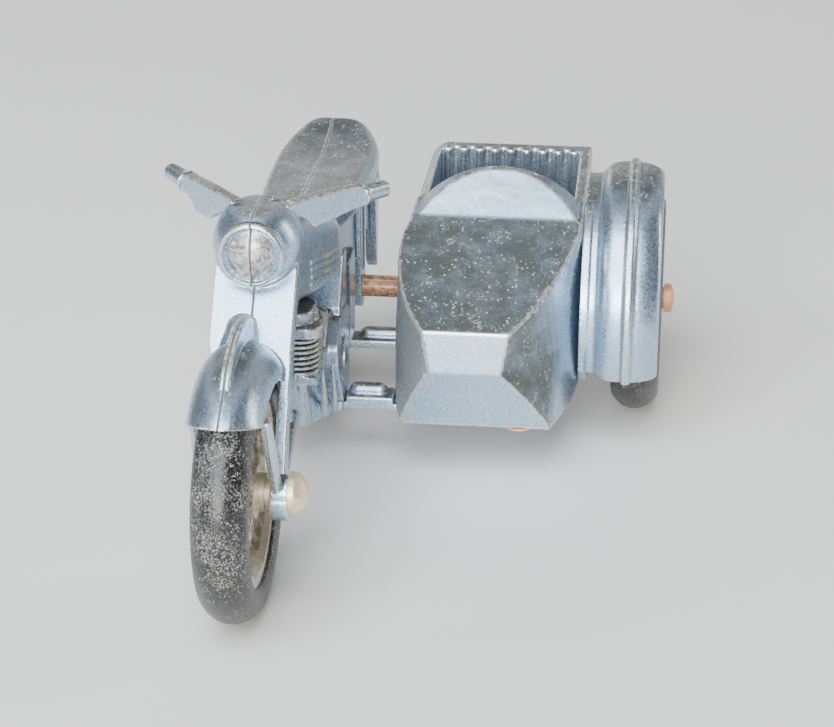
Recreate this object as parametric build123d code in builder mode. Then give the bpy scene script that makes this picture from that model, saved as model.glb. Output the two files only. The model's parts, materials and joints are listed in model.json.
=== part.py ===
"""Small die-cast motorcycle with a sidecar, free rolling on three wheels.

The motorcycle is two zinc castings that meet on its mid-plane. A long axle runs through its rear
wheel, under the sidecar's seat and through the sidecar's wheel. Forward is -Y, the sidecar is on
the +X side, and the origin is on the ground in the middle of the whole object's box.

Distances in the sketches are taken from the motorcycle's own datum: x from its mid-plane, y from
the rear axle (negative is forward) and z from the ground. The plane functions put them in place.
"""
import os
from math import atan2, cos, radians, sin

from build123d import *

# ---- driving dimensions, mm ------------------------------------------------------------------
wheelbase = 35.5
wheel_radius = 8.2
tyre_half_width = 1.75
sidecar_track = 23.6  # motorcycle mid-plane to the middle of the sidecar wheel
axle_radius = 0.8
running_gap = 0.06  # radial clearance wherever something turns
tail_y = 10.0  # rearmost point of the motorcycle
rear_end_y = 10.17  # rearmost point of all, on the sidecar mudguard's bead
bar_end_x = 7.28  # outermost point of the left handlebar
axle_end_x = 26.2  # outer end of the long axle

front_y = -wheelbase
bike_x = (bar_end_x - axle_end_x) / 2
rear_axle_y = (wheelbase + wheel_radius - rear_end_y) / 2

# ---- motorcycle ------------------------------------------------------------------------------
fork_rake = 36.5  # degrees back from vertical
fork_half_width = 2.62
boss_inner_x = 2.05
boss_outer_x = 3.2
left_boss_x = -2.5  # the left boss is shallow and the pin ends flush with it
boss_radius = 1.22
lamp_z = 21.25
lamp_radius = 2.85
guard_inner_radius = wheel_radius + 0.5
guard_crown_radius = wheel_radius + 1.15
guard_half_width = 2.28
well_half_width = 2.05
well_radius = wheel_radius + 0.55
fin_count = 8
fin_pitch = 0.38
seat_shift = 0.22  # the right-hand casting is a little fuller than the left

# ---- sidecar ---------------------------------------------------------------------------------
body_left_x = 7.4
body_right_x = 19.6
body_floor_z = 4.0
body_wall = 0.85
body_back_y = 8.9
seat_back_y = 8.1
seat_z = 9.6
hood_rear_y = -5.9
hood_rear_z = 16.0
cowl_top_z = 18.65
cowl_peak_x = 12.65
frame_bottom_z = 3.5
panel_at = (13.2, -5.0)
panel_z = 2.95  # just lower than the rivet heads
rail_inner_x = 1.9
rail_front_y = -12.5
rail_top_z = 4.2
rivet_radius = 0.45
frame_rivet_at = (2.75, -10.8)
nose_rivet_at = (15.8, -13.2)
seat_rivets_at = ((9.8, 3.6), (17.0, 3.6))
mudguard_rivets_at = ((-1.1, 5.8), (6.0, 5.8))
# rivets that hold the two castings together: y, z and the half width where their heads sit
half_rivets = {
    "head_rivet": (-24.5, 16.3, 1.15),
    "case_rivet": (-12.4, 7.6, 3.5),
    "tail_rivet": (7.6, 13.9, 3.35),
}
flute_pitch = 1.19
flute_count = 9
mudguard_outer_x = 25.2
mudguard_rise = 0.37
mudguard_front_angle = 107
mudguard_rear_angle = 100

os.makedirs("parts", exist_ok=True)


def side_plane(x=0.0):
    """Sketch plane seen from the sidecar: local x is y, local y is z."""
    return Plane(origin=(bike_x + x, rear_axle_y, 0), x_dir=(0, 1, 0), z_dir=(1, 0, 0))


def cross_plane(y=0.0):
    """Sketch plane seen from the front: local x is x, local y is z, its normal is forward."""
    return Plane(origin=(bike_x, rear_axle_y + y, 0), x_dir=(1, 0, 0), z_dir=(0, -1, 0))


def level_plane(z=0.0):
    """Sketch plane seen from above: local x is x, local y is y."""
    return Plane(origin=(bike_x, rear_axle_y, z))


def radial_plane(axle_y, angle):
    """Plane through a wheel's axle: local y points away from it, angle degrees forward of up."""
    out = Vector(0, -sin(radians(angle)), cos(radians(angle)))
    return Plane(
        origin=(bike_x, rear_axle_y + axle_y, wheel_radius),
        x_dir=(1, 0, 0),
        z_dir=Vector(1, 0, 0).cross(out),
    )


def wheel_axis(axle_y):
    return Axis((bike_x, rear_axle_y + axle_y, wheel_radius), (1, 0, 0))


def place(x, y, z):
    """A point given from the motorcycle's datum, in the part's frame."""
    return (bike_x + x, rear_axle_y + y, z)


def between(start, end, x_dir=None):
    """Plane at start whose normal runs to end, both given from the motorcycle's datum."""
    first = Vector(*place(*start))
    return Plane(origin=first, x_dir=x_dir, z_dir=Vector(*place(*end)) - first)


def distance(start, end):
    return (Vector(*end) - Vector(*start)).length


def rod(start, end, radius, end_radius=None):
    """Round bar between two points, tapered if end_radius is given."""
    length = distance(start, end)
    with BuildPart() as bar:
        with BuildSketch(between(start, end)):
            Circle(radius)
        with BuildSketch(between(start, end).offset(length)):
            Circle(end_radius or radius)
        loft()
    return bar.part


def finish(piece, name):
    piece.part.label = name
    export_step(piece.part, f"parts/{name}.step")


# fork_plane lies along the fork: local y runs up the legs from the front axle, normal forward
fork_up = (0, sin(radians(fork_rake)), cos(radians(fork_rake)))
fork_plane = Plane(
    origin=place(0, front_y, wheel_radius),
    x_dir=(1, 0, 0),
    z_dir=(0, -fork_up[2], fork_up[1]),
)


def front_mudguard():
    """Deep mudguard that wraps the front tyre, with the number plate along its crown."""
    with BuildPart() as feature:
        with BuildSketch(radial_plane(front_y, -84)):
            with BuildLine():
                crown = (0, guard_crown_radius)
                shoulder = guard_crown_radius - 0.62
                Line((-guard_half_width, 6.9), (-guard_half_width, 7.7))
                ThreePointArc((-guard_half_width, 7.7), (-1.55, shoulder), crown)
                ThreePointArc(crown, (1.55, shoulder), (guard_half_width, 7.7))
                Line((guard_half_width, 7.7), (guard_half_width, 6.9))
                Line((guard_half_width, 6.9), (1.98, 6.9))
                Line((1.98, 6.9), (1.98, 7.6))
                ThreePointArc((1.98, 7.6), (0, guard_inner_radius), (-1.98, 7.6))
                Line((-1.98, 7.6), (-1.98, 6.9))
                Line((-1.98, 6.9), (-guard_half_width, 6.9))
            make_face()
        revolve(axis=wheel_axis(front_y), revolution_arc=150)
        # the front lip is cut almost level
        with BuildSketch(side_plane()):
            with BuildLine():
                Polyline((-47, 16.6), (-38.5, 14.1), (-37, 13.7), (-37, 5), (-47, 5), close=True)
            make_face()
        extrude(amount=5, both=True, mode=Mode.SUBTRACT)
        # number plate: a thin crest that fades out towards the lip
        with BuildSketch(side_plane()):
            with BuildLine():
                top = ThreePointArc((-30.4, 17.55), (-34.2, 18.6), (-37.6, 17.95))
                ThreePointArc(top @ 1, (-38.8, 17.3), (-39.7, 16.3))
                Polyline((-39.7, 16.3), (-37.6, 16.6), (-34, 17.0), (-30.4, 16.2), top @ 0)
            make_face()
        extrude(amount=0.3, both=True)
    return feature.part


def fork():
    """Flat front panel of the fork, with its legs and the bosses for the front pin."""
    with BuildPart() as feature:
        with BuildSketch(fork_plane.offset(-0.95)):
            with BuildLine():
                Polyline(
                    (-2.3, 0.6), (-2.3, 7.8), (-fork_half_width, 9.2), (-fork_half_width, 15.6),
                    (fork_half_width, 15.6), (fork_half_width, 9), (2.85, 0.6), (2.1, 0),
                )
                Line((2.1, 0), (1.98, 8.2))
                ThreePointArc((1.98, 8.2), (1.4, 8.95), (0.4, 9.3))
                Line((0.4, 9.3), (0.3, 10.6))
                ThreePointArc((0.3, 10.6), (-0.6, 11.15), (-1.5, 10.2))
                ThreePointArc((-1.5, 10.2), (-1.75, 9.4), (-1.98, 8.4))
                Line((-1.98, 8.4), (-2.1, 0))
                Line((-2.1, 0), (-2.3, 0.6))
            make_face()
        extrude(amount=1.35)
        for inner_x, outer_x in ((-boss_inner_x, left_boss_x), (boss_inner_x, boss_outer_x)):
            with BuildSketch(side_plane(inner_x)):
                with Locations((front_y, wheel_radius)):
                    Circle(boss_radius - 0.12)
                with Locations((front_y, wheel_radius - 0.55)):
                    Circle(boss_radius)
            extrude(amount=outer_x - inner_x)
        for front_x, foot_x, radius in ((2.25, 2.5, 0.37), (-2.15, -2.15, 0.3)):
            add(rod((front_x, -38.35, 14.3), (foot_x, -36.1, 8.6), radius))
            add(rod((front_x, -27.3, 9.9), (foot_x, -34.9, 8.2), radius))
    return feature.part


def headlamp():
    """Lamp housing with its rim and glass, and the flat where the two castings were pressed."""
    with BuildPart() as feature:
        with BuildSketch(side_plane()):
            with BuildLine():
                glass = ThreePointArc((-29.6, lamp_z), (-29.45, lamp_z + 0.9), (-29.05, lamp_z + 1.55))
                Line(glass @ 1, (-28.9, lamp_z + 1.7))
                Line((-28.9, lamp_z + 1.7), (-29.3, lamp_z + 1.82))
                ThreePointArc((-29.3, lamp_z + 1.82), (-29.2, lamp_z + 2.04), (-28.9, lamp_z + 2.08))
                Line((-28.9, lamp_z + 2.08), (-28.6, lamp_z + 2.08))
                Line((-28.6, lamp_z + 2.08), (-28.6, lamp_z + 2.15))
                ThreePointArc(
                    (-28.6, lamp_z + 2.15), (-26.2, lamp_z + lamp_radius), (-23.4, lamp_z + 1.6)
                )
                Line((-23.4, lamp_z + 1.6), (-22.6, lamp_z))
                Line((-22.6, lamp_z), glass @ 0)
            make_face()
        revolve(axis=Axis(place(0, 0, lamp_z), (0, 1, 0)))
        with BuildSketch(side_plane()):
            with Locations((-26, lamp_z + 2.4)):
                Rectangle(9, 3, align=(Align.CENTER, Align.MIN))
        extrude(amount=4, both=True, mode=Mode.SUBTRACT)
    return feature.part


def handlebar(side, tip, outline):
    """One blade-like handlebar: a web that leaves the lamp housing and ends in a round grip.

    The outline gives the web's edge as distance from the root and height.
    """
    with BuildPart() as feature:
        root = Vector(1.3 * side, -26.2, 0)
        end = Vector(tip[0], tip[1], 0)
        along = (end - root).normalized()
        web = Plane(
            origin=place(root.X, root.Y, 0), x_dir=along, z_dir=along.cross(Vector(0, 0, 1))
        )
        with BuildSketch(web):
            with BuildLine():
                Polyline(*outline, close=True)
            make_face()
        extrude(amount=0.42, both=True)
        grip_at = root + along * ((end - root).length - 2.3)
        grip_start = (grip_at.X, grip_at.Y, tip[2] + 0.08 * side)
        add(rod(grip_start, tip, 0.62, 0.56))
        with BuildSketch(between(grip_start, tip)):
            Circle(0.74)
        extrude(amount=0.3)
    return feature.part


def tank_sections(grow=0.0):
    """Rounded sections of the petrol tank, from the steering head back to the seat."""
    with BuildPart() as feature:
        for y, half_width, low, high, corner in (
            (-23.6, 1.7, 15.8, 20.4, 1.0),
            (-19.0, 2.6, 14.4, 20.2, 1.7),
            (-14.0, 3.3, 13.5, 19.3, 2.1),
            (-10.4, 3.0, 13.7, 17.7, 1.8),
        ):
            with BuildSketch(cross_plane(y)):
                with Locations((0, (low + high) / 2)):
                    RectangleRounded(2 * (half_width + grow), high - low + 2 * grow, corner)
        loft()
    return feature.part


def engine():
    """Crankcase, finned cylinder and head."""
    with BuildPart() as feature:
        with BuildSketch(side_plane()):
            with BuildLine():
                Polyline(
                    (-20.6, 9.4), (-19.6, 8.5), (-18.0, 7.9), (-16.0, 4.3), (-15.2, 3.5), (-8.6, 3.5),
                    (-8.4, 5.2), (-9.1, 8.2), (-9.1, 11.2), (-14.2, 11.2), (-15.6, 9.6), close=True,
                )
            make_face()
        extrude(amount=2.6, both=True)
        # the case narrows towards the front, where flutes run down it
        for side in (-1, 1):
            with BuildSketch(level_plane(3)):
                with BuildLine():
                    Polyline((side * 0.9, -19), (side * 0.9, -15.6), (side * 3, -12.5), (side * 3, -19),
                             close=True)
                make_face()
            extrude(amount=5.4, mode=Mode.SUBTRACT)
            for foot_x, foot_y, flute_radius in (
                (0.2, -15.5, 0.45), (1.1, -15.3, 0.52), (2.25, -13.8, 0.3), (2.85, -13.0, 0.26)
            ):
                top = (side * (foot_x + 0.25), foot_y - 2.7, 8.5)
                add(rod(top, (side * foot_x, foot_y, 3.9), flute_radius * 0.4, flute_radius))
        # oil tank, whose front slopes down from the petrol tank to the crankcase
        with BuildSketch(side_plane()):
            with BuildLine():
                Polyline(
                    (-9.0, 14.4), (-9.0, 9.8), (-12.7, 9.8), (-12.5, 11.3), (-10.4, 14.4),
                    close=True,
                )
            make_face()
        extrude(amount=3.2, both=True)
        # side covers
        for side in (-1, 1):
            with BuildSketch(side_plane(side * 2.4)):
                with BuildLine():
                    Polyline(
                        (-15.2, 8.0), (-12.6, 4.3), (-9.2, 4.0), (-9.2, 10.4), (-13.2, 10.8),
                        (-15.4, 9.4), close=True,
                    )
                make_face()
                fillet(vertices(), 0.6)
            extrude(amount=side * 1.0)
            with BuildSketch(side_plane(side * 3.3)):
                with Locations((-12.4, 7.6)):
                    Circle(1.5)
            extrude(amount=side * 0.2)
        fins_bottom = 9.15
        fins_top = fins_bottom + fin_count * fin_pitch
        with BuildSketch(level_plane(8.6)):
            with Locations((0, -18.4)):
                RectangleRounded(4.7, 3.5, 1.1)
        extrude(amount=fins_top + 1.6 - 8.6)
        for number in range(fin_count):
            with BuildSketch(level_plane(fins_bottom + number * fin_pitch)):
                with Locations((0, -18.4)):
                    RectangleRounded(5.5, 4.3, 1.3)
            extrude(amount=fin_pitch * 0.52)
        with BuildSketch(level_plane(fins_top)):
            with Locations((0, -18.4)):
                RectangleRounded(6.1, 4.5, 1.2)
        extrude(amount=0.75)
        with Locations(place(-1.5, -18.4, fins_top + 0.75), place(1.5, -18.4, fins_top + 0.75)):
            Cylinder(1.05, 0.6, align=(Align.CENTER, Align.CENTER, Align.MIN))
    return feature.part


def frame_core():
    """Steering head and the solid spine between the castings' outer shapes."""
    with BuildPart() as feature:
        with BuildSketch(side_plane()):
            with BuildLine():
                Polyline(
                    (-27.2, 21.0), (-22.4, 21.4), (-20.0, 16.5), (-9.6, 16.6), (-9.6, 13.9),
                    (-15.6, 12.6), (-15.8, 9.4), (-20.6, 8.6), (-22.4, 9.6), (-25.2, 15.2),
                    (-27.4, 18.6), close=True,
                )
            make_face()
        extrude(amount=1.15, both=True)
    return feature.part


def rear_enclosure():
    """Rear mudguard with its side panels, suspension legs and the well for the rear wheel."""
    with BuildPart() as feature:
        with BuildSketch(side_plane()):
            with BuildLine():
                Polyline((-9.6, 9.0), (-9.6, 16.6), (6.8, 16.9))
                ThreePointArc((6.8, 16.9), (9.3, 13.6), (tail_y, 9.4))
                Polyline((tail_y, 9.4), (8.7, 9.0), (4.2, 11.2), (-2.2, 10.8), (-5.4, 9.0))
                Line((-5.4, 9.0), (-9.6, 9.0))
            make_face()
        extrude(amount=2.85, both=True)
        # round the panel's ends as seen from above
        with BuildSketch(level_plane(5)):
            with Locations((0, (tail_y - 9.6) / 2)):
                Rectangle(8, tail_y + 9.6)
                RectangleRounded(5.7, tail_y + 9.6, 1.6, mode=Mode.SUBTRACT)
            with BuildLine():
                Polyline((-4, -9.7), (4, -9.7), (4, -7.8), (-4, -7.8), close=True)
            make_face(mode=Mode.SUBTRACT)
        extrude(amount=11, mode=Mode.SUBTRACT)
        for side in (-1, 1):
            # tool box behind the engine
            with BuildSketch(level_plane(7.0)):
                with Locations((side * 2.6, -7.1)):
                    RectangleRounded(1.5, 3.6, 0.4)
            extrude(amount=6.2)
            # suspension leg that carries the long axle
            with BuildSketch(side_plane(side * 2.3)):
                with BuildLine():
                    Polyline(
                        (-1.6, 15.0), (1.4, 15.0), (1.15, 8.2), (0.45, 6.7), (-0.45, 6.7),
                        (-1.15, 8.2), close=True,
                    )
                make_face()
            extrude(amount=side * 0.95)
            with Locations(place(side * 2.75, -0.05, 9.6)):
                Cylinder(0.62, 5.4, align=(Align.CENTER, Align.CENTER, Align.MIN))
            # rear stay under the seat
            with BuildSketch(side_plane(side * 2.5)):
                with BuildLine():
                    Polyline(
                        (6.2, 15.8), (8.9, 14.9), (8.8, 13.7), (8.0, 7.5), (7.55, 6.9), (7.1, 7.5),
                        (6.4, 13.7), close=True,
                    )
                make_face()
            extrude(amount=side * 0.85)
    return feature.part


def seat():
    """Long dual seat with a raised, rounded tail."""
    with BuildPart() as feature:
        for y, half_width, low, high, corner in (
            (-11.6, 2.1, 16.2, 17.9, 0.7),
            (-8.0, 3.2, 15.8, 18.0, 0.95),
            (-1.5, 3.72, 15.5, 17.7, 1.0),
            (4.5, 3.68, 15.2, 17.85, 1.25),
            (7.8, 2.95, 14.2, 18.65, 2.15),
        ):
            with BuildSketch(cross_plane(y)):
                with Locations((seat_shift, (low + high) / 2)):
                    RectangleRounded(2 * half_width, high - low, corner)
        loft()
        with BuildSketch(cross_plane(7.8)):
            with Locations((seat_shift, 16.425)):
                RectangleRounded(5.9, 4.45, 2.15)
        with BuildSketch(cross_plane(9.5)):
            with Locations((seat_shift, 17.0)):
                RectangleRounded(3.2, 1.6, 0.7)
        loft()
    return feature.part


# the sidecar's outline seen from above, at three heights: left edge rear to front, then right
# edge front to rear
floor_outline = (
    ((7.0, -12.0), (7.7, -15.2), (8.6, -18.0)), ((16.4, -18.0), (18.0, -14.9), (19.1, -11.1)),
)
nose_outline = (
    ((7.15, -12.0), (9.7, -16.6), (11.0, -18.0)), ((13.4, -18.0), (14.7, -16.7), (18.35, -11.4)),
)
hood_outline = (
    ((7.2, -11.7), (9.0, -16.2), (10.2, -18.0)), ((14.0, -18.0), (15.6, -15.9), (17.8, -12.0)),
)


def sidecar_outline(edges, z, inset=0.0):
    """Level outline of the sidecar at height z, moved in by the inset."""
    left = [(body_left_x + inset, -6)] + [(x + inset, y) for x, y in edges[0]]
    right = [(x - inset, y) for x, y in edges[1]] + [(body_right_x - inset, -6)]
    with BuildSketch(level_plane(z)) as outline:
        with BuildLine():
            Line((body_left_x + inset, 12), left[0])
            Spline(*left)
            Line(left[-1], right[0])
            Spline(*right)
            Line(right[-1], (body_right_x - inset, 12))
            Line((body_right_x - inset, 12), (body_left_x + inset, 12))
        make_face()
    return outline.sketch


def sidecar_block(inset=0.0):
    """Everything inside the level outlines, taller than the sidecar itself."""
    floor = sidecar_outline(floor_outline, body_floor_z, inset)
    nose = sidecar_outline(nose_outline, 8.5, inset)
    hood = sidecar_outline(hood_outline, 13.0, inset)
    with BuildPart() as block:
        loft([floor, nose], ruled=True)
        loft([nose, hood], ruled=True)
        extrude(hood, amount=7)
    return block.part


def within_sidecar(profile, inset=0.0):
    """A side profile carried across the sidecar and kept inside its level outlines."""
    with BuildPart() as shape:
        with BuildSketch(side_plane(body_left_x - 2)):
            with BuildLine():
                Polyline(*profile, close=True)
            make_face()
        extrude(amount=body_right_x - body_left_x + 4)
        add(sidecar_block(inset), mode=Mode.INTERSECT)
    return shape.part


def cowl(inset=0.0):
    """Arched cowl in front of the cockpit, moved in by the inset to hollow it from behind."""
    foot_z = 15.6
    face_y = hood_rear_y + 1.35 * inset
    with BuildPart() as feature:
        with BuildSketch(cross_plane(-1.5)):
            with BuildLine():
                arch = ThreePointArc(
                    (body_left_x + 0.1 + inset, foot_z),
                    (cowl_peak_x, cowl_top_z - inset),
                    (body_right_x - inset, foot_z),
                )
                Line(arch @ 1, arch @ 0)
            make_face()
        extrude(amount=6)
        with BuildSketch(side_plane(body_left_x - 1)):
            with BuildLine():
                Polyline(
                    (face_y - 0.2, 15.0), (face_y, hood_rear_z), (face_y + 3.0, cowl_top_z),
                    (inset - 2.3, cowl_top_z + 0.2), (inset - 2.3, 15.0), close=True,
                )
            make_face()
        extrude(amount=body_right_x - body_left_x + 2, mode=Mode.INTERSECT)
    return feature.part


def rivet(tip, seat_at, radius, head_radius, head_height, second_head=False, rim_share=0.3):
    """Shank from tip to seat_at with a domed head beyond it, and another beyond the tip."""
    shank = Vector(*place(*seat_at)) - Vector(*place(*tip))
    side = Plane(origin=place(*tip), x_dir=shank, z_dir=shank.cross(Vector(0, 1, 0)))
    far = shank.length
    edge = rim_share * head_height
    rise = head_height - edge
    dome_radius = (rise**2 + head_radius**2) / (2 * rise)
    half_angle = atan2(head_radius, dome_radius - rise) / 2
    dome_mid = (head_height - dome_radius * (1 - cos(half_angle)), dome_radius * sin(half_angle))
    with BuildPart() as pin:
        with BuildSketch(side):
            with BuildLine():
                Polyline((far, radius), (far, head_radius), (far + edge, head_radius))
                ThreePointArc(
                    (far + edge, head_radius), (far + dome_mid[0], dome_mid[1]),
                    (far + head_height, 0),
                )
                if second_head:
                    Line((far + head_height, 0), (-head_height, 0))
                    ThreePointArc(
                        (-head_height, 0), (-dome_mid[0], dome_mid[1]), (-edge, head_radius)
                    )
                    Polyline((-edge, head_radius), (0, head_radius), (0, radius), (far, radius))
                else:
                    Polyline((far + head_height, 0), (0, 0), (0, radius), (far, radius))
            make_face()
        revolve(axis=Axis(place(*tip), shank))
    return pin.part


def arm_rib(x, y, length, base_z):
    """Rounded rib on top of one of the sidecar frame's arms."""
    with BuildPart() as feature:
        with BuildSketch(level_plane(base_z - 0.2)):
            with Locations((x, y)):
                SlotOverall(length, 1.15)
        extrude(amount=0.85)
        fillet(edges().group_by(Axis.Z)[-1], 0.4)
    return feature.part


def wheel_rim(name, x, axle_y):
    """Cast wheel centre: hub, wire-like spokes and a rim with low lips for the tyre."""
    rim_inner, rim_bead, rim_lip = 5.05, 5.62, 5.95
    spoke_count = 10
    with BuildPart() as rim:
        with BuildSketch(cross_plane(axle_y)):
            with BuildLine():
                Polyline(
                    (x - 1.3, wheel_radius + rim_inner + 0.25), (x - 1.3, wheel_radius + rim_lip),
                    (x - 1.0, wheel_radius + rim_lip), (x - 0.75, wheel_radius + rim_bead),
                    (x + 0.75, wheel_radius + rim_bead), (x + 1.0, wheel_radius + rim_lip),
                    (x + 1.3, wheel_radius + rim_lip), (x + 1.3, wheel_radius + rim_inner + 0.25),
                    (x + 0.8, wheel_radius + rim_inner), (x - 0.8, wheel_radius + rim_inner),
                    close=True,
                )
            make_face()
        revolve(axis=wheel_axis(axle_y))
        with BuildSketch(side_plane(x)):
            with Locations((axle_y, wheel_radius)):
                Circle(1.2)
        extrude(amount=1.72, both=True)
        for side in (-1, 1):
            with BuildSketch(side_plane(x + side * 0.75)):
                with Locations((axle_y, wheel_radius)):
                    Circle(1.65)
            extrude(amount=side * 0.4)
            for number in range(spoke_count):
                turn = radians(360 / spoke_count * (number + 0.25 * side))
                lean = turn + side * 0.22 * (1 if number % 2 else -1)
                hub_end = (x + side * 0.92, axle_y + 1.3 * sin(turn), wheel_radius + 1.3 * cos(turn))
                rim_end = (
                    x + side * 0.35,
                    axle_y + (rim_inner + 0.2) * sin(lean),
                    wheel_radius + (rim_inner + 0.2) * cos(lean),
                )
                add(rod(hub_end, rim_end, 0.2))
        with BuildSketch(side_plane(x - 3)):
            with Locations((axle_y, wheel_radius)):
                Circle(axle_radius + running_gap)
        extrude(amount=6, mode=Mode.SUBTRACT)
    finish(rim, name)


def wheel_tyre(name, x, axle_y):
    """Tyre with a rounded section that grips the rim between its lips."""
    inner, lip = 5.62, 5.95
    half = tyre_half_width
    base = wheel_radius
    with BuildPart() as tyre:
        with BuildSketch(cross_plane(axle_y)):
            with BuildLine():
                Polyline(
                    (x - half + 0.25, base + lip + 0.05), (x - 1.3, base + lip),
                    (x - 1.0, base + lip), (x - 0.75, base + inner), (x + 0.75, base + inner),
                    (x + 1.0, base + lip), (x + 1.3, base + lip),
                    (x + half - 0.25, base + lip + 0.05),
                )
                right = ThreePointArc(
                    (x + half - 0.25, base + lip + 0.05), (x + half, base + 6.75),
                    (x + half - 0.35, base + 7.55),
                )
                crown = ThreePointArc(
                    right @ 1, (x, base + wheel_radius), (x - half + 0.35, base + 7.55)
                )
                ThreePointArc(
                    crown @ 1, (x - half, base + 6.75), (x - half + 0.25, base + lip + 0.05)
                )
            make_face()
        revolve(axis=wheel_axis(axle_y))
    finish(tyre, name)


# ---- motorcycle castings -----------------------------------------------------------------------
left_bar_tip = (-6.85, -19.6, 23.3)
left_bar_outline = (
    (0, 23.85), (3.0, 23.9), (6.4, 23.85), (7.0, 23.7), (7.0, 22.85), (6.4, 22.72), (5.5, 22.5),
    (4.8, 21.8), (3.2, 21.7), (2.3, 22.35), (1.2, 22.75), (0, 22.95),
)
right_bar_tip = (7.1, -18.6, 22.35)
right_bar_outline = (
    (0, 23.6), (2.9, 23.55), (5.3, 23.4), (7.3, 23.1), (7.8, 22.9), (7.8, 21.85), (5.8, 21.75),
    (4.1, 21.6), (2.7, 21.5), (2.0, 22.3), (1.1, 22.75), (0, 22.95),
)

# raised bars on the tank's sides, following its surface
with BuildPart() as tank_trim:
    for number in range(4):
        front_z = 17.6 - number * 0.52
        with BuildSketch(side_plane()):
            with BuildLine():
                Polyline(
                    (-20.2, front_z), (-12.4, front_z - 1.55), (-12.4, front_z - 1.75),
                    (-20.2, front_z - 0.22), close=True,
                )
            make_face()
        extrude(amount=5, both=True)
    add(tank_sections(0.1), mode=Mode.INTERSECT)

with BuildPart() as motorcycle:
    add(front_mudguard())
    add(fork())
    add(headlamp())
    add(handlebar(-1, left_bar_tip, left_bar_outline))
    add(handlebar(1, right_bar_tip, right_bar_outline))
    add(frame_core())
    add(tank_sections())
    add(tank_trim)
    add(engine())
    add(rear_enclosure())
    add(seat())
    # well for the rear wheel
    with BuildSketch(side_plane()):
        with Locations((0, wheel_radius)):
            Circle(well_radius)
    extrude(amount=well_half_width, both=True, mode=Mode.SUBTRACT)
    # open the front wheel's path between the legs
    with BuildSketch(radial_plane(front_y, 0)):
        with BuildLine():
            Polyline((-1.95, 7.6), (-1.95, 0), (1.95, 0), (1.95, 7.6))
            ThreePointArc((1.95, 7.6), (0, wheel_radius + 0.45), (-1.95, 7.6))
        make_face()
    revolve(axis=wheel_axis(front_y), mode=Mode.SUBTRACT)
    # speedometer dial
    with Locations(place(1.15, -25.2, lamp_z + 2.2)):
        Cylinder(0.48, 1, align=(Align.CENTER, Align.CENTER, Align.MIN), mode=Mode.SUBTRACT)
    # holes for the front pin, for the long axle and for the rivets
    with BuildSketch(side_plane()):
        with Locations((front_y, wheel_radius)):
            Circle(axle_radius)
        with Locations((0, wheel_radius)):
            Circle(axle_radius + running_gap)
        with Locations(*[(y, z) for y, z, _ in half_rivets.values()]):
            Circle(rivet_radius)
    extrude(amount=6, both=True, mode=Mode.SUBTRACT)

with BuildPart() as bike_left_half:
    add(motorcycle)
    split(bisect_by=side_plane(), keep=Keep.BOTTOM)
finish(bike_left_half, "bike_left_half")

with BuildPart() as bike_right_half:
    add(motorcycle)
    split(bisect_by=side_plane(), keep=Keep.TOP)
    # seat for the sidecar frame's rail, and the hole for its rivet
    with BuildSketch(level_plane(frame_bottom_z - 1)):
        with Locations((rail_inner_x - 0.1, rail_front_y - 0.1)):
            Rectangle(3, 14, align=(Align.MIN, Align.MIN))
    extrude(amount=rail_top_z - frame_bottom_z + 1, mode=Mode.SUBTRACT)
    with BuildSketch(level_plane(rail_top_z)):
        with Locations(frame_rivet_at):
            Circle(rivet_radius)
    extrude(amount=1.4, mode=Mode.SUBTRACT)
    # foot of the suspension leg, which stands on the rail beside the tyre
    with BuildSketch(side_plane(2.05)):
        with BuildLine():
            Polyline(
                (-2.2, rail_top_z), (0.7, rail_top_z), (0.5, 7.2), (-0.5, 7.2), (-1.1, 6.0),
                close=True,
            )
        make_face()
    extrude(amount=0.45)
finish(bike_right_half, "bike_right_half")

for rivet_name, (rivet_y, rivet_z, face_x) in half_rivets.items():
    with BuildPart() as half_rivet:
        add(rivet(
            (-face_x, rivet_y, rivet_z), (face_x, rivet_y, rivet_z), rivet_radius, 0.75, 0.25, True
        ))
    finish(half_rivet, rivet_name)

# ---- wheels ------------------------------------------------------------------------------------
for wheel, wheel_x, wheel_y in (
    ("front_wheel", 0, front_y),
    ("rear_wheel", 0, 0),
    ("sidecar_wheel", sidecar_track, 0),
):
    wheel_rim(f"{wheel}_rim", wheel_x, wheel_y)
    wheel_tyre(f"{wheel}_tyre", wheel_x, wheel_y)

# ---- axles -------------------------------------------------------------------------------------
with BuildPart() as fork_pin:
    add(rivet(
        (left_boss_x, front_y, wheel_radius), (boss_outer_x, front_y, wheel_radius),
        axle_radius, 1.38, 1.2,
    ))
finish(fork_pin, "fork_pin")

axle_head_height = 0.75
with BuildPart() as cross_axle:
    add(rivet(
        (-boss_outer_x - 0.15, 0, wheel_radius), (axle_end_x - axle_head_height, 0, wheel_radius),
        axle_radius, 1.06, axle_head_height, True, 0.7,
    ))
finish(cross_axle, "cross_axle")

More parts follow.
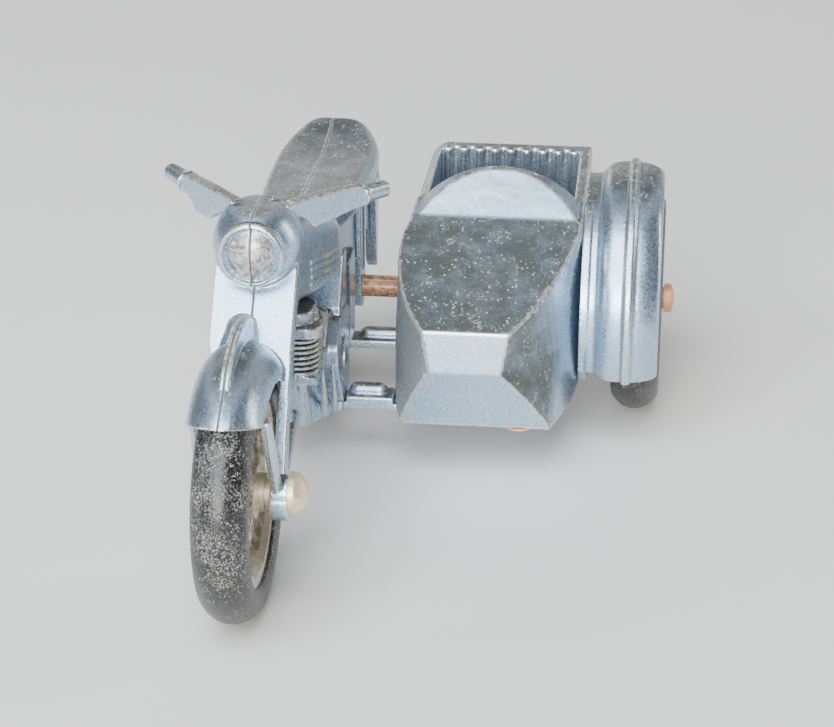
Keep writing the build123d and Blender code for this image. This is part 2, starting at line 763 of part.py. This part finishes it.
# ---- sidecar -----------------------------------------------------------------------------------
wall = body_wall
with BuildPart() as sidecar_body:
    add(within_sidecar([
        (body_back_y, body_floor_z), (-14.8, body_floor_z), (-16.7, 8.5), (-16.3, 11.4),
        (hood_rear_y, hood_rear_z), (-3.5, 16.05), (body_back_y, 16.75),
    ]))
    add(cowl())
    # hollow of the nose and footwell, open below until the frame closes it
    add(within_sidecar([
        (-2.2, body_floor_z), (-13.8, body_floor_z), (-15.6, 8.5), (-15.3, 10.9),
        (hood_rear_y + 0.2, hood_rear_z - wall), (-2.2, hood_rear_z - wall + 0.1),
    ], wall), mode=Mode.SUBTRACT)
    add(cowl(0.7), mode=Mode.SUBTRACT)
    # cockpit above the seat
    with BuildSketch(side_plane(body_left_x + wall)):
        with BuildLine():
            Polyline(
                (-2.25, seat_z), (seat_back_y - 0.5, seat_z), (seat_back_y, 19), (-2.25, 19),
                close=True,
            )
        make_face()
    extrude(amount=body_right_x - body_left_x - 2 * wall, mode=Mode.SUBTRACT)
    # flutes of the seat's back
    for number in range(flute_count):
        flute_x = (body_left_x + body_right_x) / 2 + (number - (flute_count - 1) / 2) * flute_pitch
        with BuildSketch(level_plane(seat_z - 0.3)):
            with Locations((flute_x, seat_back_y)):
                Circle(0.44)
        extrude(amount=16.6 - seat_z + 0.3)
    # rounded upper corner of the back, on the motorcycle's side
    with BuildSketch(cross_plane(body_back_y + 1)):
        with BuildLine():
            corner = ThreePointArc((9.2, 16.8), (7.9, 16.3), (body_left_x, 15.0))
            Polyline(
                corner @ 1, (body_left_x - 0.5, 15.0), (body_left_x - 0.5, 17.5), (9.2, 17.5),
                corner @ 0,
            )
        make_face()
    extrude(amount=12, mode=Mode.SUBTRACT)
    # boss for the nose rivet
    with BuildSketch(level_plane(body_floor_z)):
        with Locations(nose_rivet_at):
            Circle(1.15)
    extrude(amount=4)
    # tunnel for the long axle and holes for the rivets
    with BuildSketch(side_plane(body_left_x - 1)):
        with Locations((0, wheel_radius)):
            Circle(axle_radius + running_gap)
    extrude(amount=body_right_x - body_left_x + 2, mode=Mode.SUBTRACT)
    with BuildSketch(level_plane(body_floor_z)):
        with Locations(nose_rivet_at, *seat_rivets_at):
            Circle(rivet_radius)
    extrude(amount=2.6, mode=Mode.SUBTRACT)
    with BuildSketch(side_plane(body_right_x - 1.6)):
        with Locations(*mudguard_rivets_at):
            Circle(rivet_radius)
    extrude(amount=1.6, mode=Mode.SUBTRACT)
finish(sidecar_body, "sidecar_body")

web_thickness = 0.6
with BuildPart() as sidecar_mudguard:
    with BuildSketch(radial_plane(0, -mudguard_rear_angle)):
        with BuildLine():
            inner = wheel_radius + 0.42
            crown = mudguard_rise + 9.52
            Polyline(
                (body_right_x + 0.55, inner), (body_right_x + 0.55, 8.95), (20.75, 9.02)
            )
            Spline(
                (20.75, 9.02), (21.3, crown - 0.24), (22.65, crown), (24.1, crown - 0.14),
                (25.0, crown - 0.55),
            )
            Polyline(
                (25.0, crown - 0.55), (mudguard_outer_x, crown - 0.85), (mudguard_outer_x, inner),
                (body_right_x + 0.55, inner),
            )
        make_face()
        with Locations((23.0, crown - 0.02)):
            RectangleRounded(0.66, 0.6, 0.2)
    revolve(axis=wheel_axis(0), revolution_arc=mudguard_rear_angle + mudguard_front_angle)
    # web that joins the mudguard to the sidecar's wall
    with BuildSketch(side_plane(body_right_x)):
        with BuildLine():
            Polyline((8.8, 8.0), (8.8, 4.6), (-7.6, 4.6), (-8.5, 5.6), (-9.0, 8.0))
            ThreePointArc((-9.0, 8.0), (0, 17.2), (8.8, 8.0))
        make_face()
        with Locations((0, wheel_radius)):
            Circle(axle_radius + running_gap, mode=Mode.SUBTRACT)
        with Locations(*mudguard_rivets_at):
            Circle(rivet_radius, mode=Mode.SUBTRACT)
    extrude(amount=web_thickness)
finish(sidecar_mudguard, "sidecar_mudguard")

with BuildPart() as mudguard_rivets:
    for rivet_y, rivet_z in mudguard_rivets_at:
        add(rivet(
            (body_right_x - 1.6, rivet_y, rivet_z),
            (body_right_x + web_thickness, rivet_y, rivet_z), rivet_radius, 0.9, 0.45,
        ))
finish(mudguard_rivets, "mudguard_rivets")

# ---- sidecar frame -----------------------------------------------------------------------------
with BuildPart() as sidecar_frame:
    # plate under the body
    extrude(
        sidecar_outline(floor_outline, frame_bottom_z, 0.35), amount=body_floor_z - frame_bottom_z
    )
    with BuildSketch(level_plane(frame_bottom_z)):
        with Locations((0, -14.1)):
            Rectangle(25, 22.7, align=(Align.MIN, Align.MIN))
    extrude(amount=body_floor_z - frame_bottom_z, mode=Mode.INTERSECT)
    # raised panel underneath, which a stand can carry the toy by
    with BuildSketch(level_plane(panel_z)):
        with Locations(panel_at):
            RectangleRounded(7.2, 9.0, 0.8)
    extrude(amount=frame_bottom_z - panel_z)
    # rail beside the rear wheel
    with BuildSketch(level_plane(frame_bottom_z)):
        with Locations((rail_inner_x, rail_front_y)):
            Rectangle(0.42, 13.6, align=(Align.MIN, Align.MIN))
            Rectangle(1.4, 3.4, align=(Align.MIN, Align.MIN))
    extrude(amount=rail_top_z - frame_bottom_z)
    # two flat arms, each with a rounded rib on top
    for arm_y, arm_width, arm_top_z, inner_x, rib_y, rib_x, rib_length in (
        (-11.05, 2.1, 4.45, 3.5, -11.0, 5.0, 2.7),
        (0.1, 2.0, 4.1, rail_inner_x, 0.25, 4.85, 3.7),
    ):
        with BuildSketch(level_plane(frame_bottom_z)):
            with Locations((rail_inner_x, arm_y)):
                Rectangle(6.2, arm_width, align=(Align.MIN, Align.CENTER))
        extrude(amount=body_floor_z - frame_bottom_z)
        with BuildSketch(level_plane(frame_bottom_z)):
            with Locations((inner_x, arm_y)):
                Rectangle(6.85 - inner_x, arm_width, align=(Align.MIN, Align.CENTER))
        extrude(amount=arm_top_z - frame_bottom_z)
        add(arm_rib(rib_x, rib_y, rib_length, arm_top_z))
    with BuildSketch(level_plane(frame_bottom_z)):
        with Locations(frame_rivet_at, nose_rivet_at, *seat_rivets_at):
            Circle(rivet_radius)
    extrude(amount=2, mode=Mode.SUBTRACT)
finish(sidecar_frame, "sidecar_frame")

with BuildPart() as frame_rivet:
    add(rivet(
        (frame_rivet_at[0], frame_rivet_at[1], rail_top_z + 1.4),
        (frame_rivet_at[0], frame_rivet_at[1], frame_bottom_z), rivet_radius, 0.6, 0.3,
    ))
finish(frame_rivet, "frame_rivet")

with BuildPart() as body_rivets:
    for rivet_x, rivet_y in (nose_rivet_at, *seat_rivets_at):
        add(rivet(
            (rivet_x, rivet_y, body_floor_z + 2.6), (rivet_x, rivet_y, frame_bottom_z),
            rivet_radius, 1.0, 0.45,
        ))
finish(body_rivets, "body_rivets")
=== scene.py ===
"""Looks of a small die-cast toy motorcycle with a sidecar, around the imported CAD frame.

Every casting, wheel and pin is a CAD node. Here they get softened cast edges and worn, dusty
materials; the floor, lights and camera complete the scene. Lengths named *_mm are millimetres,
and all others are metres.
"""
import json
from math import radians

import bmesh
import bpy
from mathutils import Matrix, Vector


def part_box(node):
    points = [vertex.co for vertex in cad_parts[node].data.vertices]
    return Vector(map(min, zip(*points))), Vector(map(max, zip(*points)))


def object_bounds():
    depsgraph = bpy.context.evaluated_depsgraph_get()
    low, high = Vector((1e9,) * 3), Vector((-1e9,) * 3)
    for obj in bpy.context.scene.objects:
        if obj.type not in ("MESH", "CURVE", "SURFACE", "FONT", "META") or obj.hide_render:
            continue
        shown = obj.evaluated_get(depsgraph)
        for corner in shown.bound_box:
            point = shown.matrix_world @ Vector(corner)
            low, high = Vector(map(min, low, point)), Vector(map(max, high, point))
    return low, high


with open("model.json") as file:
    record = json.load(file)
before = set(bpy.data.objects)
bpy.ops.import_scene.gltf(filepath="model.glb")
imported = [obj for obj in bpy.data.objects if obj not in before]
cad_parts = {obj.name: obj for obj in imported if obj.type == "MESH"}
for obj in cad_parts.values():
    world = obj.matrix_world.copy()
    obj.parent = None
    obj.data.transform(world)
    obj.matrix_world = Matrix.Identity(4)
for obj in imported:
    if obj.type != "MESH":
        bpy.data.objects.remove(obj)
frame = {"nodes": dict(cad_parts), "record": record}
cad_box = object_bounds()

MM = 0.001
nodes = frame["nodes"]
seam_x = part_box("bike_right_half")[0][0]
pin_middle = (Vector(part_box("fork_pin")[0]) + Vector(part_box("fork_pin")[1])) / 2
# the front axle in the motorcycle's middle plane, and from there the lamp's glass and the engine
front_axle = Vector((seam_x, pin_middle.y, pin_middle.z))
glass_middle = front_axle + Vector((0, 6.1, 13.05)) * MM
engine_middle = front_axle + Vector((0, 18.5, 5.5)) * MM


# ---- node graph helper -------------------------------------------------------------------------
# a Mix node's first input, second input and output, for each type of value it mixes
MIX_SOCKETS = {"FLOAT": (2, 3, 0), "RGBA": (6, 7, 2)}


class Graph:
    """A material's node tree, with one method per kind of node used below."""

    def __init__(self, name, **shader_values):
        self.material = bpy.data.materials.new(name)
        self.material.use_nodes = True
        self.tree = self.material.node_tree
        self.tree.nodes.clear()
        output = self.tree.nodes.new("ShaderNodeOutputMaterial")
        self.shader = self.tree.nodes.new("ShaderNodeBsdfPrincipled")
        self.link(self.shader.outputs["BSDF"], output.inputs["Surface"])
        for socket, value in shader_values.items():
            self.shader.inputs[socket.replace("_", " ")].default_value = value
        self.place = self.tree.nodes.new("ShaderNodeTexCoord").outputs["Object"]
        geometry = self.tree.nodes.new("ShaderNodeNewGeometry")
        self.pointiness = geometry.outputs["Pointiness"]
        self.normal = geometry.outputs["Normal"]

    def link(self, source, target):
        self.tree.links.new(source, target)

    def feed(self, socket, value):
        """Links an output to a socket, or sets the socket's number or colour."""
        if hasattr(value, "links"):
            self.link(value, socket)
        elif isinstance(value, tuple) and len(value) == 3 and len(socket.default_value) == 4:
            socket.default_value = (*value, 1)
        else:
            socket.default_value = value

    def noise(self, size_mm, detail=3.0, roughness=0.55, distortion=0.0, stretch=(1, 1, 1), seed=0):
        """Noise between 0 and 1 whose features are about size_mm across."""
        mapping = self.tree.nodes.new("ShaderNodeMapping")
        mapping.inputs["Location"].default_value = (0.013 * seed, 0.007 * seed, 0.003 * seed)
        mapping.inputs["Scale"].default_value = stretch
        self.link(self.place, mapping.inputs["Vector"])
        node = self.tree.nodes.new("ShaderNodeTexNoise")
        self.link(mapping.outputs["Vector"], node.inputs["Vector"])
        node.inputs["Scale"].default_value = 1 / (size_mm * MM)
        node.inputs["Detail"].default_value = detail
        node.inputs["Roughness"].default_value = roughness
        node.inputs["Distortion"].default_value = distortion
        return node.outputs["Fac"]

    def cells(self, size_mm, seed=0):
        """Distance to the nearest of scattered points size_mm apart, from 0 at a point."""
        mapping = self.tree.nodes.new("ShaderNodeMapping")
        mapping.inputs["Location"].default_value = (0.011 * seed, 0.005 * seed, 0.009 * seed)
        self.link(self.place, mapping.inputs["Vector"])
        node = self.tree.nodes.new("ShaderNodeTexVoronoi")
        self.link(mapping.outputs["Vector"], node.inputs["Vector"])
        node.inputs["Scale"].default_value = 1 / (size_mm * MM)
        return node.outputs["Distance"]

    def remap(self, value, low, high, out_low=0.0, out_high=1.0):
        """Smooth step of value from low..high to out_low..out_high."""
        node = self.tree.nodes.new("ShaderNodeMapRange")
        node.interpolation_type = "SMOOTHSTEP"
        self.feed(node.inputs["Value"], value)
        for socket, number in zip(
            ("From Min", "From Max", "To Min", "To Max"), (low, high, out_low, out_high)
        ):
            node.inputs[socket].default_value = number
        return node.outputs["Result"]

    def math(self, operation, first, second=0.0):
        node = self.tree.nodes.new("ShaderNodeMath")
        node.operation = operation
        self.feed(node.inputs[0], first)
        self.feed(node.inputs[1], second)
        return node.outputs["Value"]

    def product(self, *values):
        result = values[0]
        for value in values[1:]:
            result = self.math("MULTIPLY", result, value)
        return result

    def most(self, *values):
        """The greatest of the values."""
        result = values[0]
        for value in values[1:]:
            result = self.math("MAXIMUM", result, value)
        return result

    def strands(self, noise, outer, inner):
        """1 on the winding lines where a noise crosses its middle, 0 further than outer off."""
        off_line = self.math("ABSOLUTE", self.math("SUBTRACT", noise, 0.5))
        return self.remap(off_line, outer, inner)

    def mix(self, factor, first, second, data_type="RGBA"):
        """Mix of two colours, or of two numbers with the type FLOAT."""
        node = self.tree.nodes.new("ShaderNodeMix")
        node.data_type = data_type
        first_input, second_input, output = MIX_SOCKETS[data_type]
        self.feed(node.inputs[0], factor)
        self.feed(node.inputs[first_input], first)
        self.feed(node.inputs[second_input], second)
        return node.outputs[output]

    def blend(self, factor, first, second):
        """Mix of two numbers."""
        return self.mix(factor, first, second, "FLOAT")

    def axis(self, vector, index):
        node = self.tree.nodes.new("ShaderNodeSeparateXYZ")
        self.link(vector, node.inputs["Vector"])
        return node.outputs[index]

    def along(self, vector, direction):
        """How much a vector points in a direction, -1 to 1."""
        node = self.tree.nodes.new("ShaderNodeVectorMath")
        node.operation = "DOT_PRODUCT"
        self.link(vector, node.inputs[0])
        node.inputs[1].default_value = Vector(direction).normalized()
        return node.outputs["Value"]

    def near(self, point, inner_mm, outer_mm):
        """1 within inner_mm of a point in the shared frame, falling to 0 at outer_mm."""
        node = self.tree.nodes.new("ShaderNodeVectorMath")
        node.operation = "DISTANCE"
        self.link(self.place, node.inputs[0])
        node.inputs[1].default_value = point
        return self.remap(node.outputs["Value"], outer_mm * MM, inner_mm * MM)

    def bump(self, height, depth_mm, strength=1.0, below=None):
        """Normal of a relief depth_mm deep, on top of the bumps below if there are any."""
        node = self.tree.nodes.new("ShaderNodeBump")
        node.inputs["Strength"].default_value = strength
        node.inputs["Distance"].default_value = depth_mm * MM
        self.feed(node.inputs["Height"], height)
        if below is not None:
            self.link(below, node.inputs["Normal"])
        return node.outputs["Normal"]

    def finish(self, color=None, roughness=None, metallic=None, normal=None):
        """The material, with what is given fed to its shader."""
        for socket, value in (
            ("Base Color", color), ("Roughness", roughness), ("Metallic", metallic),
            ("Normal", normal),
        ):
            if value is not None:
                self.feed(self.shader.inputs[socket], value)
        return self.material


# colours of the paint, and of what lies on it
PAINT_DARK = (0.34, 0.47, 0.62)
PAINT_FLAKE = (0.54, 0.69, 0.87)
PAINT_FADED = (0.46, 0.54, 0.60)
# olive on upward faces: partly dust, partly a painted dark reflection
OLIVE_DUST_AND_DARK_REFLECTION = (0.052, 0.052, 0.037)
DRY_DUST = (0.24, 0.23, 0.195)
LINT = (0.60, 0.61, 0.56)
ENGINE_SOIL = (0.25, 0.19, 0.12)
CORNER_DIRT = (0.085, 0.065, 0.04)
WORN_EDGE = (0.74, 0.69, 0.58)
MILKY_GLASS = (0.46, 0.50, 0.51)
GLASS_STAIN = (0.14, 0.10, 0.065)
RUST = (0.55, 0.25, 0.08)
# the directions that the sidecar body's front cheek, darkened with a painted dark reflection, and
# its dry inner side face
CHEEK_DIRECTION = (0.70, -0.66, 0.27)
INNER_DIRECTION = (-0.95, -0.30, 0.05)


def lint_and_specks(g, facing_up):
    """Fine fibres and specks caught in the dust, most of them on what faces up."""
    fibres = g.strands(g.noise(0.85, 1.0, 0.4, 2.2, seed=7), 0.020, 0.004)
    fibres = g.product(fibres, g.remap(g.noise(1.1, 2.0, seed=9), 0.52, 0.62))
    speck_where = g.remap(g.noise(1.4, 3.0, seed=12), 0.44, 0.58)
    specks = g.product(g.remap(g.cells(0.34, seed=2), 0.30, 0.16), speck_where)
    return g.product(g.most(fibres, specks), g.remap(facing_up, 0, 1, 0.08, 0.95))


def lamp_glass_color(g, seam):
    """Milky glass with brown veins, and a rusty stretch along the parting seam."""
    veins = g.strands(g.noise(1.5, 3.0, 0.6, 1.6, seed=33), 0.045, 0.008)
    stain = g.remap(g.noise(0.5, 4.0, 0.7, seed=34), 0.50, 0.64)
    stain = g.most(g.product(veins, 0.85), g.product(stain, 0.55))
    color = g.mix(stain, MILKY_GLASS, GLASS_STAIN)
    rust = g.product(g.near(glass_middle + Vector((0, 0, 0.1)) * MM, 0.15, 0.75), seam)
    return g.mix(g.product(rust, 0.8), color, RUST)


def silver_paint(name, motorcycle=False, body=False):
    """Silver-blue metallic paint on zinc: grainy, olive on top with dust and a painted dark
    reflection, rubbed pale along its edges.

    The motorcycle's own castings also get their dirty seam, lamp glass and engine, and the
    sidecar's body a painted dark reflection on its front cheek and a paler, drier side towards
    the motorcycle.
    """
    g = Graph(name, Specular_IOR_Level=0.35, Coat_Weight=0.06, Coat_Roughness=0.22)
    flakes = g.remap(g.noise(0.11, 2.0), 0.42, 0.62)
    patches = g.remap(g.noise(3.2, 4.0, seed=3), 0.40, 0.66)
    paint = g.mix(flakes, PAINT_DARK, PAINT_FLAKE)
    paint = g.mix(g.product(patches, 0.40), paint, PAINT_FADED)
    # an olive film on what faces up: partly dust, partly a painted dark reflection of the room
    # above
    facing_up = g.remap(g.axis(g.normal, 2), 0.74, 0.93)
    if body:
        # the front cheek gets the olive film as a painted dark reflection
        painted_reflection_cheek = g.remap(g.along(g.normal, CHEEK_DIRECTION), 0.90, 0.965)
        facing_up = g.most(facing_up, painted_reflection_cheek)
    dust_and_reflection_noise = g.remap(g.noise(1.7, 5.0, 0.65, seed=5), 0.30, 0.60, 0.80, 1.0)
    dust_and_reflection = g.product(facing_up, dust_and_reflection_noise, 0.93)
    # the olive colour darkens the upward faces, as dust and as a painted dark reflection
    color = g.mix(dust_and_reflection, paint, OLIVE_DUST_AND_DARK_REFLECTION)
    if body:
        inner_side = g.remap(g.along(g.normal, INNER_DIRECTION), 0.74, 0.92)
        dry_dust = g.remap(g.noise(0.35, 5.0, 0.7, seed=41), 0.38, 0.60, 0.40, 0.90)
        dry_dust = g.product(inner_side, dry_dust)
        color = g.mix(dry_dust, color, DRY_DUST)
        dust_and_reflection = g.most(dust_and_reflection, dry_dust)
    lint = lint_and_specks(g, facing_up)
    color = g.mix(g.product(lint, 0.75), color, LINT)
    # dirt in the corners, worn edges
    dirt_noise = g.remap(g.noise(0.8, 4.0, seed=15), 0.35, 0.65, 0.25, 1.0)
    dirt = g.product(g.remap(g.pointiness, 0.492, 0.45), dirt_noise)
    wear_noise = g.remap(g.noise(0.40, 4.0, 0.6, seed=18), 0.36, 0.54)
    wear = g.product(g.remap(g.pointiness, 0.506, 0.526), wear_noise)
    if motorcycle:
        beside = g.math("ABSOLUTE", g.math("SUBTRACT", g.axis(g.place, 0), seam_x))
        seam = g.remap(beside, 0.12 * MM, 0.03 * MM)
        wear = g.product(wear, g.math("SUBTRACT", 1.0, seam))
        dirt = g.most(dirt, g.product(seam, dirt_noise, 0.7))
        soil = g.product(
            g.near(engine_middle, 3.5, 8.5), g.remap(g.noise(1.1, 5.0, 0.7, seed=31), 0.42, 0.62)
        )
        color = g.mix(g.product(soil, 0.62), color, ENGINE_SOIL)
        glass = g.near(glass_middle, 1.42, 1.52)
        color = g.mix(glass, color, lamp_glass_color(g, seam))
    color = g.mix(g.product(dirt, 0.85), color, CORNER_DIRT)
    color = g.mix(g.product(wear, 0.80), color, WORN_EDGE)
    grain = g.noise(0.16, 3.0, 0.6, seed=20)
    rough = g.blend(dust_and_reflection, g.remap(grain, 0.3, 0.7, 0.24, 0.38), 0.56)
    rough = g.most(rough, g.product(g.most(lint, dirt), 0.75))
    dull = g.most(lint, dirt, g.product(dust_and_reflection, 0.70))
    if motorcycle:
        dull = g.most(dull, g.product(soil, 0.7), g.product(glass, 0.6))
    metallic = g.blend(dull, 0.92, 0.1)
    normal = g.bump(g.noise(2.2, 2.0, seed=23), 0.10, 0.5)
    normal = g.bump(grain, 0.005, 0.8, normal)
    normal = g.bump(lint, 0.03, 0.5, normal)
    return g.finish(color, rough, metallic, normal)


RUBBER_BLACK = (0.007, 0.007, 0.008)
TYRE_DUST = (0.56, 0.54, 0.51)
METAL_DIRT = (0.07, 0.05, 0.03)


def rubber():
    """Black tyre rubber, its tread pale with caught dust."""
    g = Graph("tyre_rubber", Specular_IOR_Level=0.6)
    cloud = g.remap(g.noise(2.4, 4.0, seed=2), 0.40, 0.68)
    fine = g.remap(g.noise(0.13, 4.0, 0.7, seed=4), 0.49, 0.60)
    specks = g.remap(g.cells(0.18, seed=5), 0.34, 0.20)
    specks = g.product(specks, g.remap(g.noise(0.7, 3.0, seed=6), 0.44, 0.60), 0.9)
    dust = g.most(g.product(fine, g.remap(cloud, 0, 1, 0.15, 0.80)), specks)
    color = g.mix(g.product(dust, 0.66), RUBBER_BLACK, TYRE_DUST)
    rough = g.blend(dust, g.remap(cloud, 0, 1, 0.28, 0.42), 0.8)
    normal = g.bump(g.noise(0.30, 4.0, 0.65, seed=8), 0.05, 0.7)
    return g.finish(color, rough, None, g.bump(dust, 0.02, 0.5, normal))


def bare_metal(
    name, light, dark, roughness, grain_mm, stretch=(1, 1, 1), stain=(0.2, 0.13, 0.08),
    metallic=0.95,
):
    """Unpainted metal with fine scratches, uneven tarnish and dirt in its corners."""
    g = Graph(name, Specular_IOR_Level=0.5)
    tarnish = g.remap(g.noise(1.6, 4.0, 0.6, seed=3), 0.36, 0.66)
    scratch = g.noise(grain_mm, 3.0, 0.6, 0.3, stretch, seed=6)
    color = g.mix(tarnish, light, dark)
    color = g.mix(g.remap(scratch, 0.56, 0.68, 0, 0.5), color, stain)
    dirt = g.product(
        g.remap(g.pointiness, 0.495, 0.44), g.remap(g.noise(0.5, 3.0, seed=9), 0.35, 0.6, 0.3, 1.0)
    )
    color = g.mix(g.product(dirt, 0.8), color, METAL_DIRT)
    polish = g.remap(scratch, 0.3, 0.7, roughness - 0.08, roughness + 0.1)
    rough = g.blend(tarnish, polish, roughness + 0.2)
    return g.finish(color, rough, g.blend(dirt, metallic, 0.2), g.bump(scratch, 0.02, 0.6))


materials = {
    "silver_paint": silver_paint("silver_paint"),
    "silver_paint_motorcycle": silver_paint("silver_paint_motorcycle", motorcycle=True),
    "silver_paint_body": silver_paint("silver_paint_body", body=True),
    "tyre": rubber(),
    # the rims' pale golden tone is painted warm light on rims that are silver
    "rim": bare_metal("rim_metal", (0.78, 0.72, 0.58), (0.56, 0.49, 0.36), 0.34, 0.30),
    "copper": bare_metal(
        "coppered_steel", (0.86, 0.46, 0.27), (0.76, 0.39, 0.22), 0.38, 0.16,
        stretch=(0.12, 1, 1), stain=(0.64, 0.33, 0.19), metallic=0.35,
    ),
    "pin": bare_metal(
        "pale_brass", (0.90, 0.78, 0.56), (0.74, 0.62, 0.42), 0.40, 0.35, metallic=0.75
    ),
}

# ---- CAD nodes: cast softness and materials ----------------------------------------------------
# voxel size and passes that round each casting's edges, as cast metal under paint is rounded
softening = {
    "bike_left_half": (0.075, 3),
    "bike_right_half": (0.075, 3),
    "sidecar_body": (0.10, 7),
    "sidecar_mudguard": (0.08, 4),
    "sidecar_frame": (0.08, 4),
}
for name, (voxel_mm, passes) in softening.items():
    remesh = nodes[name].modifiers.new("cast_skin", "REMESH")
    remesh.mode = "VOXEL"
    remesh.voxel_size = voxel_mm * MM
    remesh.use_smooth_shade = True
    soft = nodes[name].modifiers.new("cast_edges", "SMOOTH")
    soft.factor = 0.5
    soft.iterations = passes

for part in frame["record"]["subparts"]:
    piece = nodes[part["node"]]
    piece.data.materials.clear()
    material_name = part["material_slot"]
    if part["node"].startswith("bike_"):
        material_name = "silver_paint_motorcycle"
    if part["node"] == "sidecar_body":
        material_name = "silver_paint_body"
    piece.data.materials.append(materials[material_name])


# ---- stage -------------------------------------------------------------------------------------
def plain_material(name, color, roughness):
    """One even colour, with a slight grain and slightly uneven roughness."""
    g = Graph(name, Specular_IOR_Level=0.4)
    tone = g.remap(g.noise(6.0, 4.0), 0.3, 0.7, -0.012, 0.012)
    g.feed(g.shader.inputs["Base Color"], color)
    normal = g.bump(g.noise(0.7, 3.0), 0.02, 0.4)
    return g.finish(None, g.math("ADD", tone, roughness), None, normal)


def sweep_floor(half_width, front_y, back_y, rise, wall_top):
    """Seamless floor that curves up into a wall behind the toy."""
    mesh = bmesh.new()
    profile = [(front_y, 0.0), (back_y, 0.0)]
    steps = 12
    for step in range(1, steps + 1):
        turn = radians(90 * step / steps)
        center = Vector((back_y, rise))
        profile.append(tuple(center + rise * (Matrix.Rotation(turn, 2) @ Vector((0, -1)))))
    profile.append((back_y + rise, wall_top))
    rows = [
        [mesh.verts.new((x, y, z)) for y, z in profile] for x in (-half_width, half_width)
    ]
    left, right = rows
    for number in range(len(profile) - 1):
        mesh.faces.new((left[number], right[number], right[number + 1], left[number + 1]))
    data = bpy.data.meshes.new("floor")
    mesh.to_mesh(data)
    mesh.free()
    floor = bpy.data.objects.new("floor", data)
    for face in data.polygons:
        face.use_smooth = True
    bpy.context.scene.collection.objects.link(floor)
    floor.data.materials.append(plain_material("pale_floor", (0.78, 0.77, 0.75), 0.55))


sweep_floor(half_width=6.0, front_y=-6.0, back_y=0.55, rise=0.35, wall_top=1.6)

# ---- light -------------------------------------------------------------------------------------
toy_middle = (Vector(cad_box[0]) + Vector(cad_box[1])) / 2


def softbox(name, direction, distance, size, watts, color):
    """Rectangular area light that faces the toy from that direction, distance metres away."""
    light = bpy.data.lights.new(name, "AREA")
    light.shape = "RECTANGLE"
    light.size, light.size_y = size
    light.energy = watts
    light.color = color
    lamp = bpy.data.objects.new(name, light)
    away = Vector(direction).normalized()
    lamp.location = toy_middle + away * distance
    lamp.rotation_euler = away.to_track_quat("Z", "Y").to_euler()
    bpy.context.scene.collection.objects.link(lamp)


# name, direction, distance, width and height, watts, colour
softbox("low_window", (-0.06, -0.96, 0.27), 0.62, (0.34, 0.15), 4.5, (1.0, 0.99, 0.96))
softbox("high_window", (-0.16, -0.60, 0.78), 0.50, (0.42, 0.50), 5.2, (0.90, 0.95, 1.0))
softbox("left_window", (-0.95, -0.30, 0.34), 0.55, (0.12, 0.34), 1.0, (0.92, 0.96, 1.0))
softbox("right_strip", (0.90, 0.42, 0.30), 0.60, (0.08, 0.36), 0.9, (1.0, 0.97, 0.92))
softbox("back_strip", (-0.15, 0.95, 0.28), 0.70, (0.50, 0.10), 1.0, (1.0, 0.98, 0.95))

world = bpy.data.worlds.new("studio")
bpy.context.scene.world = world
world.use_nodes = True
background = world.node_tree.nodes["Background"]
background.inputs["Color"].default_value = (0.60, 0.63, 0.64, 1)
background.inputs["Strength"].default_value = 0.045

# ---- camera ------------------------------------------------------------------------------------
# seen from the front, a little to the sidecar's side and from above
camera_from_axle = Vector((25.64, -138.03, 68.01)) * MM
azimuth, elevation, roll = 6.05, 23.02, 0.17
camera = bpy.data.objects.new("camera", bpy.data.cameras.new("camera"))
camera.data.lens = 109.0
camera.data.sensor_width = 36.0
camera.data.clip_start = 0.005
camera.location = front_axle + camera_from_axle
camera.rotation_euler = (
    Matrix.Rotation(radians(azimuth), 3, "Z")
    @ Matrix.Rotation(radians(90 - elevation), 3, "X")
    @ Matrix.Rotation(radians(roll), 3, "Z")
).to_euler()
bpy.context.scene.collection.objects.link(camera)
bpy.context.scene.camera = camera
